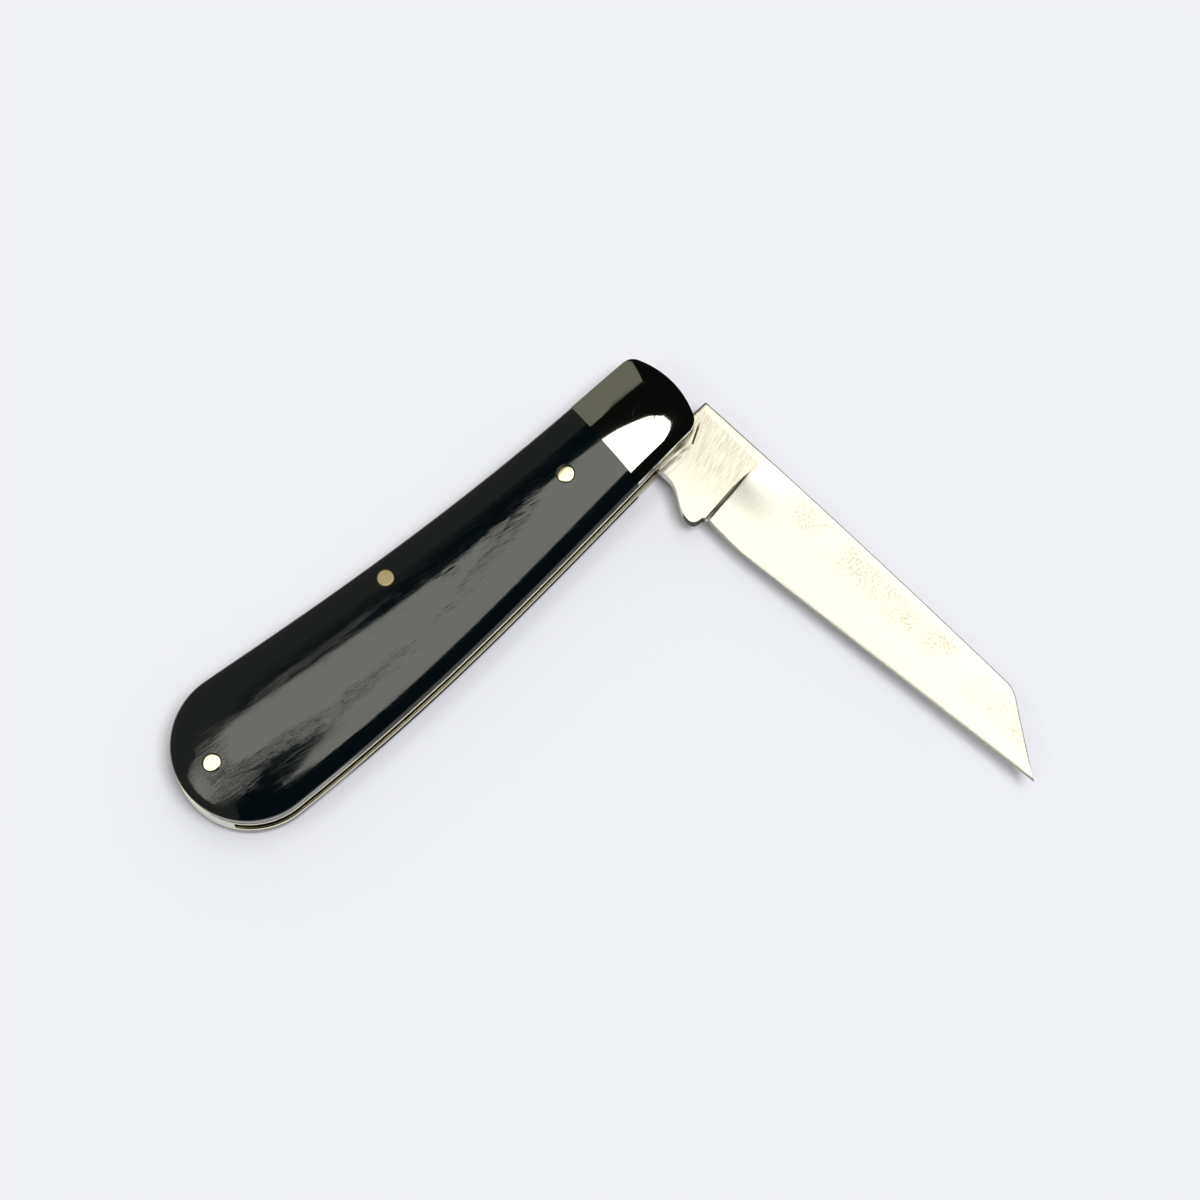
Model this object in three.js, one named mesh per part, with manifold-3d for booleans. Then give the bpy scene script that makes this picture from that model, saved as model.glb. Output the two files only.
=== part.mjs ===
// A slip-joint pocket knife, its blade held half open by the back spring.
//
// The pivot axis is Z, the flat land of the underside lies on z = 0, +X points to the bolster end and
// +Y to the back of the handle. At half stop the blade points along -Y. Millimetres.

import * as THREE from 'three';
import Module from 'manifold-3d';
import { mergeVertices } from 'three/addons/utils/BufferGeometryUtils.js';

const wasm = await Module();
wasm.setup();

// Thickness of each layer
const COVER_THICKNESS = 3.1; // scales and bolsters
const LINER_THICKNESS = 0.7;
const SPRING_THICKNESS = 2.6;
const BLADE_SIDE_CLEARANCE = 0.05;

// Handle outline, measured from the pivot
const BUTT_RADIUS = 10.3;
const BUTT_REACH = 67.9; // to the centre of the round butt
const BUTT_RISE = 4.65;
const BUTT_BACK_ANGLE = 82; // where the back runs into the butt, in degrees
const BUTT_EDGE_ANGLE = 265; // where the butt runs into the edge side
const NOSE_REACH = 6.25;
const NOSE_RADIUS = 13;
const NOSE_RISE = 1.3; // of the foremost point
const NOSE_CORNER = 1.3; // rounding of the two front corners at the liner
const LAND_CORNER = 0.2; // the same rounding at the flat land
const BACK_RISE = 7.9; // of the blade's spine at the shoulder
const NOSE_BACK_RISE = 7.5; // of the handle's back where it meets the nose
const EDGE_DROP = 5.6;
const BACK_SWEEP_FRONT = 33.5; // how far the back stays level behind the nose
const BACK_SWEEP_REAR = 7; // how far the butt's slope carries forward
const EDGE_SWEEP_FRONT = 30;
const EDGE_SWEEP_REAR = 26;
const EDGE_SLOPE = 0.03;

// Cross section of a scale or bolster, from the liner outwards
const SIDE_ANGLE = 15; // draught of the lower side, in degrees
const EDGE_ROUND = 1.8;
const CROWN_ANGLE = 75; // where the rounding runs into the crown, in degrees
const CROWN_RISE = 0.22;
const LAND_INSET = 3.0; // from the side of the handle to the flat land
const NOSE_SHARE = 0.69; // how much narrower the same section is over the nose

// Joint between bolster and scale
const JOINT_REACH = 6.55;
const JOINT_LEAN = 0.069;
const JOINT_GAP = 0.05;

// Pins and rivets
const PIN_DIAMETER = 2.38;
const PIVOT_DIAMETER = 3.1;
const RIVET_DIAMETER = 1.6;
const PIN_CLEARANCE = 0.03;
const PIVOT_CLEARANCE = 0.05;
const FRONT_RIVET_REACH = 13.1;
const FRONT_RIVET_RISE = 1.5;
const CENTRE_PIN_REACH = 39.85;
const CENTRE_PIN_DEPTH = 2.35; // below the back
const BUTT_PIN_WALL = 5.1; // from the end of the butt to the pin's centre
const BUTT_PIN_RISE = 1.35;
const BOLSTER_RIVET_BACK = 3.9; // behind the pivot
const BOLSTER_RIVET_SPREAD = 3.4;
const BOLSTER_RIVET_RISE = 0.6;
const BOLSTER_RIVET_COVER = 1.0; // bolster left over the rivet's end

// Tang, shared with the spring that bears on it
const TANG_REACH = 3.5; // pivot to each of its three flats
const TANG_CORNER = 0.8;
const TANG_FLAT = 4.6; // length of the lower flat ahead of the pivot
const SHOULDER_REACH = 3.75;
const SPRING_CLEARANCE = 0.05;

// Blade, as distances along it from the pivot and heights above the pivot line
const TIP_WALL = 7.8; // handle left beyond the tip of the closed blade
const TIP_RISE = 2.15;
const CLIP_LENGTH = 10.6; // from the tip back to the corner of the spine
const CLIP_CORNER = 1.2;
const SPINE_GAIN = 1.3; // how much higher the spine is at its far end
const SPINE_BOW = 0.22;
const HEEL_REACH = 15.3;
const HEEL_DROP = 3.25;
const EDGE_TAPER = 0.1118; // rise of the straight edge per millimetre of length
const BELLY_LENGTH = 9; // curved length of edge ahead of the heel
const KICK_WIDTH = 1.7;
const KICK_DROP = 5.25;
const KICK_STEP = 0.55; // from the heel of the edge to the kick
const NOTCH_REACH = 7.8;
const NOTCH_DROP = 3.0;

// Grind of the blade
const SPINE_TIP_THICKNESS = 1.3;
const EDGE_THICKNESS = 0.3;
const PLUNGE_RADIUS = 1.2;
const PLUNGE_AHEAD = 0.7; // from the heel of the edge to the foot of the plunge
const PLUNGE_LEAN = 0.08;
const NICK_TIP_SIDE = 20; // from the tip back to the nail nick
const NICK_LENGTH = 11;
const NICK_BELOW_SPINE = 0.75;
const NICK_WIDTH = 1.5;
const NICK_DEPTH = 0.45;

// Back spring
const SPRING_FRONT_ARM = 2.5;
const SPRING_REAR_ARM = 3.3;
const REAR_ARM_SHARE = 0.45; // where the rear arm is thinnest, between the two pins
const SPRING_BOSS = 2.8; // metal below the centre pin
const SPRING_BUTT_WALL = 3.4; // metal round the butt pin
const SLOT_END_ANGLE = 215; // where the blade slot ends on the butt, in degrees

// Smoothness
const ROUND_SIDES = 32;
const NOSE_STEPS = 8;
const CORNER_STEPS = 4;
const BACK_STEPS = 14;
const BUTT_STEPS = 20;
const EDGE_STEPS = 10;
const ROUND_STEPS = 4;
const CURVE_STEPS = 8;
const SPRING_STEPS = 48;
const HALVINGS = 40; // of the range searched for a place on a curve

// Heights and distances that follow
const MID = COVER_THICKNESS + LINER_THICKNESS + SPRING_THICKNESS / 2;
const TOP = 2 * MID;
const LINER_INSIDE = SPRING_THICKNESS / 2; // from the middle of the knife
const LINER_OUTSIDE = LINER_INSIDE + LINER_THICKNESS;
const BLADE_THICKNESS = SPRING_THICKNESS - 2 * BLADE_SIDE_CLEARANCE;
const BLADE_REACH = BUTT_REACH + BUTT_RADIUS - TIP_WALL;
const CLIP_REACH = BLADE_REACH - CLIP_LENGTH;
const BEYOND = 5; // how far a cutter reaches past what it cuts

const radians = THREE.MathUtils.degToRad;
const vec = (x, y) => new THREE.Vector2(x, y);
const direction = (degrees) => vec(Math.cos(radians(degrees)), Math.sin(radians(degrees)));
const from = (start, degrees, distance) => start.clone().addScaledVector(direction(degrees), distance);

// The four sides of the handle's outline run anticlockwise: nose, back, butt and edge
const noseCentre = vec(NOSE_REACH - NOSE_RADIUS, NOSE_RISE);
const buttCentre = vec(-BUTT_REACH, BUTT_RISE);

const backEnd = from(buttCentre, BUTT_BACK_ANGLE, BUTT_RADIUS);
const backCurve = new THREE.CubicBezierCurve(
  vec(NOSE_REACH, NOSE_BACK_RISE),
  vec(NOSE_REACH - BACK_SWEEP_FRONT, NOSE_BACK_RISE),
  from(backEnd, BUTT_BACK_ANGLE - 90, BACK_SWEEP_REAR),
  backEnd,
);

const edgeStart = from(buttCentre, BUTT_EDGE_ANGLE, BUTT_RADIUS);
const edgeCurve = new THREE.CubicBezierCurve(
  edgeStart,
  from(edgeStart, BUTT_EDGE_ANGLE + 90, EDGE_SWEEP_REAR),
  vec(NOSE_REACH - EDGE_SWEEP_FRONT, -EDGE_DROP - EDGE_SLOPE * EDGE_SWEEP_FRONT),
  vec(NOSE_REACH, -EDGE_DROP),
);

// Closes in on the place between two others where a test stops being true
function turning(test, whereTrue, whereFalse) {
  let inside = whereTrue;
  let outside = whereFalse;
  for (let i = 0; i < HALVINGS; i++) {
    const middle = (inside + outside) / 2;
    if (test(middle)) inside = middle;
    else outside = middle;
  }
  return (inside + outside) / 2;
}

// Where along a side, given the parameter of its nose end, a certain x is reached
function reaching(curve, x, noseEnd) {
  return turning((t) => curve.getPoint(t).x > x, noseEnd, 1 - noseEnd);
}

function backHeight(x) {
  return backCurve.getPoint(reaching(backCurve, x, 0)).y;
}

// A point of a side moved inwards, to the left of its direction
function inset(curve, t, distance) {
  const tangent = curve.getTangent(t);
  return curve.getPoint(t).addScaledVector(vec(-tangent.y, tangent.x), distance);
}

// Where a side moved inwards crosses the circle of the given radius about the nose's centre
function crossing(curve, distance, radius, noseEnd) {
  const abreast = reaching(curve, noseCentre.x, noseEnd);
  return turning((t) => inset(curve, t, distance).distanceTo(noseCentre) < radius, abreast, noseEnd);
}

// The handle's outline moved inwards, by one distance at the sides and another at the nose
function outline(sideInset, noseInset, corner) {
  const radius = NOSE_RADIUS - noseInset;
  const backCorner = inset(backCurve, crossing(backCurve, sideInset, radius, 0), sideInset);
  const edgeCorner = inset(edgeCurve, crossing(edgeCurve, sideInset, radius, 1), sideInset);
  const backFrom = crossing(backCurve, sideInset, radius - corner, 0);
  const edgeTo = crossing(edgeCurve, sideInset, radius - corner, 1);
  const turn = corner / radius;
  const noseFrom = edgeCorner.clone().sub(noseCentre).angle() - 2 * Math.PI + turn;
  const noseTo = backCorner.clone().sub(noseCentre).angle() - turn;
  const points = [];
  for (let i = 0; i <= NOSE_STEPS; i++) {
    const angle = noseFrom + (noseTo - noseFrom) * i / NOSE_STEPS;
    points.push(noseCentre.clone().add(vec(Math.cos(angle), Math.sin(angle)).multiplyScalar(radius)));
  }
  const backStart = inset(backCurve, backFrom, sideInset);
  const backRound = new THREE.QuadraticBezierCurve(points.at(-1), backCorner, backStart);
  const edgeRoundEnd = points[0];
  points.push(...backRound.getPoints(CORNER_STEPS).slice(1));
  for (let i = 1; i <= BACK_STEPS; i++) {
    points.push(inset(backCurve, backFrom + (1 - backFrom) * i / BACK_STEPS, sideInset));
  }
  for (let i = 1; i < BUTT_STEPS; i++) {
    const degrees = BUTT_BACK_ANGLE + (BUTT_EDGE_ANGLE - BUTT_BACK_ANGLE) * i / BUTT_STEPS;
    points.push(from(buttCentre, degrees, BUTT_RADIUS - sideInset));
  }
  for (let i = 0; i <= EDGE_STEPS; i++) points.push(inset(edgeCurve, edgeTo * i / EDGE_STEPS, sideInset));
  const edgeRound = new THREE.QuadraticBezierCurve(points.at(-1), edgeCorner, edgeRoundEnd);
  points.push(...edgeRound.getPoints(CORNER_STEPS).slice(1, -1));
  return points;
}

// Solids

function solid(geometry) {
  const bare = geometry.index ? geometry.toNonIndexed() : geometry.clone();
  bare.deleteAttribute('normal');
  bare.deleteAttribute('uv');
  const merged = mergeVertices(bare);
  return new wasm.Manifold(new wasm.Mesh({
    numProp: 3,
    vertProperties: merged.attributes.position.array,
    triVerts: new Uint32Array(merged.index.array),
  }));
}

// A closed skin over rings of points, with flat ends. flat gives a point's two coordinates in its ring.
function loft(rings, flat) {
  const count = rings[0].length;
  const faces = [];
  for (let ring = 0; ring < rings.length - 1; ring++) {
    for (let i = 0; i < count; i++) {
      const a = ring * count + i;
      const b = ring * count + (i + 1) % count;
      faces.push([a, b, b + count], [a, b + count, a + count]);
    }
  }
  const last = (rings.length - 1) * count;
  for (const [a, b, c] of THREE.ShapeUtils.triangulateShape(rings[0].map(flat), [])) faces.push([c, b, a]);
  for (const [a, b, c] of THREE.ShapeUtils.triangulateShape(rings.at(-1).map(flat), [])) {
    faces.push([last + a, last + b, last + c]);
  }
  const geometry = new THREE.BufferGeometry().setFromPoints(rings.flat());
  geometry.setIndex(faces.flat());
  return solid(geometry);
}

function prism(points, low, high) {
  const shape = new THREE.Shape(points);
  const geometry = new THREE.ExtrudeGeometry(shape, { depth: high - low, bevelEnabled: false });
  return solid(geometry.translate(0, 0, low));
}

function rod(at, diameter, low, high) {
  const geometry = new THREE.CylinderGeometry(diameter / 2, diameter / 2, high - low, ROUND_SIDES);
  return solid(geometry.rotateX(Math.PI / 2).translate(at.x, at.y, (low + high) / 2));
}

// The same, between two distances from the middle of the knife. way is 1 on the pile side, which lies
// upwards, and -1 on the mark side.
function prismOnSide(points, way, near, far) {
  const ends = [MID + way * near, MID + way * far];
  return prism(points, Math.min(...ends), Math.max(...ends));
}

function rodOnSide(at, diameter, way, near, far) {
  const ends = [MID + way * near, MID + way * far];
  return rod(at, diameter, Math.min(...ends), Math.max(...ends));
}

// Where the pins stand
const pivotAt = vec(0, 0);
const frontRivetAt = vec(-FRONT_RIVET_REACH, FRONT_RIVET_RISE);
const centrePinAt = vec(-CENTRE_PIN_REACH, backHeight(-CENTRE_PIN_REACH) - CENTRE_PIN_DEPTH);
const buttPinAt = vec(-BUTT_REACH - BUTT_RADIUS + BUTT_PIN_WALL, BUTT_RISE + BUTT_PIN_RISE);
const bolsterRivetsAt = [1, -1].map((way) => (
  vec(-BOLSTER_RIVET_BACK, BOLSTER_RIVET_RISE + way * BOLSTER_RIVET_SPREAD)
));
const scalePinsAt = [frontRivetAt, centrePinAt, buttPinAt];

function holes(points, diameter) {
  return points.map((at) => rod(at, diameter + 2 * PIN_CLEARANCE, -BEYOND, TOP + BEYOND));
}

function without(body, cutters) {
  return cutters.reduce((left, cutter) => left.subtract(cutter), body);
}

// Cross section of scale and bolster, as pairs of inset and height over the liner
function coverSection() {
  const arcRise = EDGE_ROUND * (Math.sin(radians(CROWN_ANGLE)) - Math.sin(radians(SIDE_ANGLE)));
  const sideHeight = COVER_THICKNESS - CROWN_RISE - arcRise;
  const sideInset = sideHeight * Math.tan(radians(SIDE_ANGLE));
  const section = [[0, 0]];
  for (let i = 0; i <= ROUND_STEPS; i++) {
    const angle = radians(SIDE_ANGLE + (CROWN_ANGLE - SIDE_ANGLE) * i / ROUND_STEPS);
    section.push([
      sideInset + EDGE_ROUND * (Math.cos(radians(SIDE_ANGLE)) - Math.cos(angle)),
      sideHeight + EDGE_ROUND * (Math.sin(angle) - Math.sin(radians(SIDE_ANGLE))),
    ]);
  }
  section.push([LAND_INSET, COVER_THICKNESS]);
  return section;
}

const flatXY = (point) => vec(point.x, point.y);
const flatYZ = (point) => vec(point.y, point.z);

// Outlines of one half of the handle, going outwards from the liner
function coverRings(way) {
  return coverSection().map(([sideInset, height]) => {
    const corner = NOSE_CORNER + (LAND_CORNER - NOSE_CORNER) * sideInset / LAND_INSET;
    const z = MID + way * (LINER_OUTSIDE + height);
    return outline(sideInset, sideInset * NOSE_SHARE, corner).map((p) => new THREE.Vector3(p.x, p.y, z));
  });
}

const pileCover = loft(coverRings(1), flatXY);
const markCover = loft(coverRings(-1).reverse(), flatXY);
const envelope = loft([...coverRings(-1).reverse(), ...coverRings(1)], flatXY);

// A block over all of the handle ahead of the joint, or over all of it behind
function besideJoint(way) {
  const jointX = (y) => -JOINT_REACH + JOINT_LEAN * y + way * JOINT_GAP / 2;
  const far = way * (BUTT_REACH + BUTT_RADIUS + BEYOND);
  const side = BUTT_RISE + BUTT_RADIUS + BEYOND;
  const corners = [vec(jointX(-side), -side), vec(far, -side), vec(far, side), vec(jointX(side), side)];
  return prism(corners, -BEYOND, TOP + BEYOND);
}

function scale(cover) {
  return without(cover.intersect(besideJoint(-1)), holes(scalePinsAt, PIN_DIAMETER));
}

function bolster(cover, way) {
  const socketEnd = LINER_OUTSIDE + COVER_THICKNESS - BOLSTER_RIVET_COVER + PIN_CLEARANCE;
  const socketDiameter = RIVET_DIAMETER + 2 * PIN_CLEARANCE;
  return without(cover.intersect(besideJoint(1)), [
    ...holes([pivotAt], PIVOT_DIAMETER),
    ...bolsterRivetsAt.map((at) => rodOnSide(at, socketDiameter, way, 0, socketEnd)),
  ]);
}

function liner(way) {
  const plate = prismOnSide(outline(0, 0, NOSE_CORNER), way, LINER_INSIDE, LINER_OUTSIDE);
  return without(plate, [
    ...holes(scalePinsAt, PIN_DIAMETER),
    ...holes([pivotAt], PIVOT_DIAMETER),
    ...holes(bolsterRivetsAt, RIVET_DIAMETER),
  ]);
}

// A pin through the whole knife, its ends filed flush with the covers
function throughPin(at, diameter) {
  return rod(at, diameter, -BEYOND, TOP + BEYOND).intersect(envelope);
}

// A short rivet from the inside of one liner out to the face of the scale
function frontRivet(way) {
  return rodOnSide(frontRivetAt, PIN_DIAMETER, way, LINER_INSIDE, MID + BEYOND).intersect(envelope);
}

function bolsterRivet(at, way) {
  const end = LINER_OUTSIDE + COVER_THICKNESS - BOLSTER_RIVET_COVER;
  return rodOnSide(at, RIVET_DIAMETER, way, LINER_INSIDE, end);
}

// The spring fills the back of the handle and the butt, and leaves the slot that the blade closes into
function backSpring() {
  const bearing = TANG_REACH + SPRING_CLEARANCE;
  const frontX = SHOULDER_REACH - SPRING_CLEARANCE;
  const points = [vec(frontX, bearing)];
  const backFrom = reaching(backCurve, frontX, 0);
  for (let i = 0; i <= BACK_STEPS; i++) {
    points.push(backCurve.getPoint(backFrom + (1 - backFrom) * i / BACK_STEPS));
  }
  for (let i = 1; i <= BUTT_STEPS; i++) {
    const degrees = BUTT_BACK_ANGLE + (SLOT_END_ANGLE - BUTT_BACK_ANGLE) * i / BUTT_STEPS;
    points.push(from(buttCentre, degrees, BUTT_RADIUS));
  }
  const below = (x, depth) => vec(x, backHeight(x) - depth);
  const rearArmX = -CENTRE_PIN_REACH + (buttPinAt.x + CENTRE_PIN_REACH) * REAR_ARM_SHARE;
  const kickSeat = vec(-HEEL_REACH + 2 * KICK_WIDTH, KICK_DROP + SPRING_CLEARANCE);
  const underside = new THREE.SplineCurve([
    from(buttPinAt, -80, SPRING_BUTT_WALL),
    from(buttPinAt, -30, SPRING_BUTT_WALL),
    below(rearArmX - SPRING_BUTT_WALL, SPRING_REAR_ARM),
    below(rearArmX + SPRING_BUTT_WALL, SPRING_REAR_ARM),
    vec(centrePinAt.x, centrePinAt.y - SPRING_BOSS),
    below(-(HEEL_REACH + CENTRE_PIN_REACH) / 2, SPRING_FRONT_ARM),
    vec(-HEEL_REACH, kickSeat.y + SPRING_CLEARANCE),
  ]);
  points.push(...underside.getPoints(SPRING_STEPS));
  const tangSeat = vec(-TANG_FLAT, bearing);
  const toTang = new THREE.QuadraticBezierCurve(kickSeat, vec(-2 * TANG_REACH, bearing), tangSeat);
  points.push(...toTang.getPoints(CURVE_STEPS));
  return without(
    prism(points, MID - LINER_INSIDE, MID + LINER_INSIDE),
    holes([centrePinAt, buttPinAt], PIN_DIAMETER),
  );
}

// The straight lines of the blade, as heights above the pivot line
const edgeHeight = (along) => TIP_RISE - EDGE_TAPER * (BLADE_REACH - along);
const spineHeight = (along) => (
  BACK_RISE + SPINE_GAIN * (along - SHOULDER_REACH) / (CLIP_REACH - SHOULDER_REACH)
);

function bladeOutline() {
  const shape = new THREE.Shape();
  const lineTo = (along, height) => shape.lineTo(height, -along);
  const curveTo = (a1, h1, a2, h2) => shape.quadraticCurveTo(h1, -a1, h2, -a2);
  shape.moveTo(TANG_REACH, -SHOULDER_REACH);
  lineTo(SHOULDER_REACH, BACK_RISE);
  const spineStop = CLIP_REACH - CLIP_CORNER;
  const spineMiddle = (SHOULDER_REACH + spineStop) / 2;
  curveTo(spineMiddle, spineHeight(spineMiddle) + 2 * SPINE_BOW, spineStop, spineHeight(spineStop));
  const corner = spineHeight(CLIP_REACH);
  const clipSlope = (corner - TIP_RISE) / CLIP_LENGTH;
  curveTo(CLIP_REACH, corner, CLIP_REACH + CLIP_CORNER, corner - clipSlope * CLIP_CORNER);
  lineTo(BLADE_REACH, TIP_RISE);
  const bellyReach = HEEL_REACH + BELLY_LENGTH;
  const bellyMiddle = HEEL_REACH + BELLY_LENGTH / 2;
  lineTo(bellyReach, edgeHeight(bellyReach));
  curveTo(bellyMiddle, edgeHeight(bellyMiddle), HEEL_REACH, -HEEL_DROP);
  const kickReach = HEEL_REACH - KICK_STEP;
  lineTo(kickReach, -HEEL_DROP - KICK_STEP);
  curveTo(kickReach, -KICK_DROP, HEEL_REACH - KICK_WIDTH, -KICK_DROP);
  const flank = (NOTCH_REACH + HEEL_REACH - KICK_WIDTH) / 2;
  curveTo(flank + KICK_WIDTH, -KICK_DROP, flank, -(KICK_DROP + NOTCH_DROP) / 2);
  curveTo(flank - KICK_WIDTH, -NOTCH_DROP, NOTCH_REACH, -NOTCH_DROP);
  curveTo((NOTCH_REACH + TANG_FLAT) / 2, -NOTCH_DROP, TANG_FLAT, -TANG_REACH);
  lineTo(-TANG_REACH + TANG_CORNER, -TANG_REACH);
  curveTo(-TANG_REACH, -TANG_REACH, -TANG_REACH, -TANG_REACH + TANG_CORNER);
  lineTo(-TANG_REACH, TANG_REACH - TANG_CORNER);
  curveTo(-TANG_REACH, TANG_REACH, -TANG_REACH + TANG_CORNER, TANG_REACH);
  return shape.getPoints(CURVE_STEPS);
}

// Half the blade's thickness at a height between the edge and the spine
function grindHalf(along, height) {
  const taper = (along - HEEL_REACH) / (BLADE_REACH - HEEL_REACH);
  const spine = (BLADE_THICKNESS + (SPINE_TIP_THICKNESS - BLADE_THICKNESS) * Math.max(taper, 0)) / 2;
  const share = (height - edgeHeight(along)) / (spineHeight(along) - edgeHeight(along));
  return EDGE_THICKNESS / 2 + (spine - EDGE_THICKNESS / 2) * share;
}

// What the grinding wheel takes off one face, as slices across the blade's height
function grindCutter(way) {
  const away = BLADE_THICKNESS + BEYOND;
  const slice = (height) => {
    const foot = HEEL_REACH + PLUNGE_AHEAD - PLUNGE_LEAN * (height + HEEL_DROP);
    const points = [[foot - PLUNGE_RADIUS, away]];
    for (let i = 0; i <= CURVE_STEPS; i++) {
      const angle = (Math.PI / 2) * (1 - i / CURVE_STEPS);
      const off = grindHalf(foot, height) + PLUNGE_RADIUS * (1 - Math.cos(angle));
      points.push([foot - PLUNGE_RADIUS * Math.sin(angle), off]);
    }
    for (let i = 1; i <= CURVE_STEPS; i++) {
      const along = foot + (BLADE_REACH + BEYOND - foot) * i / CURVE_STEPS;
      points.push([along, grindHalf(along, height)]);
    }
    points.push([BLADE_REACH + BEYOND, away]);
    const ring = points.map(([along, off]) => new THREE.Vector3(height, -along, MID + way * off));
    return way > 0 ? ring.reverse() : ring;
  };
  return loft([slice(-KICK_DROP - BEYOND), slice(BACK_RISE + SPINE_GAIN + BEYOND)], flatYZ);
}

// Crescent on the mark side for the thumbnail, its straight side parallel to the spine
function nailNick() {
  const end = BLADE_REACH - NICK_TIP_SIDE;
  const start = end - NICK_LENGTH;
  const middle = (start + end) / 2;
  const top = (along) => spineHeight(along) - NICK_BELOW_SPINE;
  const shape = new THREE.Shape();
  shape.moveTo(top(end), -end);
  shape.lineTo(top(start), -start);
  shape.quadraticCurveTo(top(middle) - 2 * NICK_WIDTH, -middle, top(end), -end);
  const face = MID - grindHalf(middle, top(middle));
  return prism(shape.getPoints(CURVE_STEPS), -BEYOND, face + NICK_DEPTH);
}

function blade() {
  const blank = prism(bladeOutline(), MID - BLADE_THICKNESS / 2, MID + BLADE_THICKNESS / 2);
  const pivotHole = rod(pivotAt, PIVOT_DIAMETER + 2 * PIVOT_CLEARANCE, -BEYOND, TOP + BEYOND);
  return without(blank, [grindCutter(1), grindCutter(-1), nailNick(), pivotHole]);
}

// Finishes
const steel = () => new THREE.MeshStandardMaterial({ color: 0xd9d8d0, roughness: 0.22, metalness: 1 });
const springSteel = () => new THREE.MeshStandardMaterial({ color: 0xbfbdb4, roughness: 0.3, metalness: 1 });
const nickelSilver = () => new THREE.MeshStandardMaterial({ color: 0xc9c5b4, roughness: 0.15, metalness: 1 });
const brass = () => new THREE.MeshStandardMaterial({ color: 0xd6bd78, roughness: 0.25, metalness: 1 });
const ebony = () => new THREE.MeshStandardMaterial({ color: 0x0c0d0e, roughness: 0.12, metalness: 0 });

function piece(name, body, material) {
  const { numProp, vertProperties, triVerts } = body.getMesh();
  const geometry = new THREE.BufferGeometry();
  const position = new Float32Array((vertProperties.length / numProp) * 3);
  for (let i = 0; i < position.length / 3; i++) {
    position.set(vertProperties.subarray(i * numProp, i * numProp + 3), i * 3);
  }
  geometry.setAttribute('position', new THREE.BufferAttribute(position, 3));
  geometry.setIndex(new THREE.BufferAttribute(triVerts, 1));
  geometry.computeVertexNormals();
  const mesh = new THREE.Mesh(geometry, material);
  mesh.name = name;
  return mesh;
}

const handle = new THREE.Group();
handle.add(
  piece('backspring', backSpring(), springSteel()),
  piece('pivot_pin', throughPin(pivotAt, PIVOT_DIAMETER), nickelSilver()),
  piece('centre_pin', throughPin(centrePinAt, PIN_DIAMETER), brass()),
  piece('butt_pin', throughPin(buttPinAt, PIN_DIAMETER), brass()),
);
for (const [side, way, cover] of [['pile', 1, pileCover], ['mark', -1, markCover]]) {
  handle.add(
    piece(`${side}_liner`, liner(way), brass()),
    piece(`${side}_bolster`, bolster(cover, way), nickelSilver()),
    piece(`${side}_scale`, scale(cover), ebony()),
    piece(`${side}_front_rivet`, frontRivet(way), brass()),
    piece(`${side}_bolster_rivet_back`, bolsterRivet(bolsterRivetsAt[0], way), nickelSilver()),
    piece(`${side}_bolster_rivet_edge`, bolsterRivet(bolsterRivetsAt[1], way), nickelSilver()),
  );
}

const swingingBlade = new THREE.Group();
swingingBlade.add(piece('blade', blade(), steel()));

const knife = new THREE.Group();
knife.add(handle, swingingBlade);

export default knife;
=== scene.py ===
# %% [markdown]
# This scene dresses a folding pocket knife: black polished scales, nickel silver bolsters, thin brass
# liners and a satin steel blade, photographed half open on a pale table. The packed model is loaded
# first, because it fixes where every piece lies and which pieces swing with the blade. Everything
# that follows is fitted to it and never moves it.

# %% Load the frame
from math import cos, pi, radians, sin

import bmesh
import bpy
import numpy as np
from mathutils import Matrix, Vector


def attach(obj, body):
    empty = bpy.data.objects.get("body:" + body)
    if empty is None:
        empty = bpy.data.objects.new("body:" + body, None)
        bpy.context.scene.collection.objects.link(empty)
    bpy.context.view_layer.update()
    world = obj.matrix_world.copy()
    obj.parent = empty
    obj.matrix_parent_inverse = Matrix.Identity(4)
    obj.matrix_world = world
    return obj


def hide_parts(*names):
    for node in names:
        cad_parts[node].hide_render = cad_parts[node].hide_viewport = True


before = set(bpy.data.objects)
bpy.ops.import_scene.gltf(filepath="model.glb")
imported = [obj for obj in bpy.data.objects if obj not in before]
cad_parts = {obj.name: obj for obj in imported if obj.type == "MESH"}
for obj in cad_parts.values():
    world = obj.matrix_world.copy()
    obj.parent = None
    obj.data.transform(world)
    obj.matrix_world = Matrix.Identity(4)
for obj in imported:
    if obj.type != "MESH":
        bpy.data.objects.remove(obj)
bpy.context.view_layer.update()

MM = 0.001

# %% [markdown]
# The camera comes first, because every highlight below was judged through it. The photograph was
# taken from a little more than half a metre, almost straight down, with the handle running up to the
# right. A camera in Blender looks down its own -Z axis with +Y up, so its matrix is built from three
# directions: right, up and backwards. That keeps the numbers few: one aim, one distance, two angles.

# %% Camera
HANDLE_TURN = radians(44.6)   # the handle against the horizontal of the photograph
CAMERA_TILT = radians(14)     # away from straight down
CAMERA_DISTANCE = 600 * MM
AIM = Vector((-20.16, -12.15, 0)) * MM   # what lies in the middle of the photograph

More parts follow.
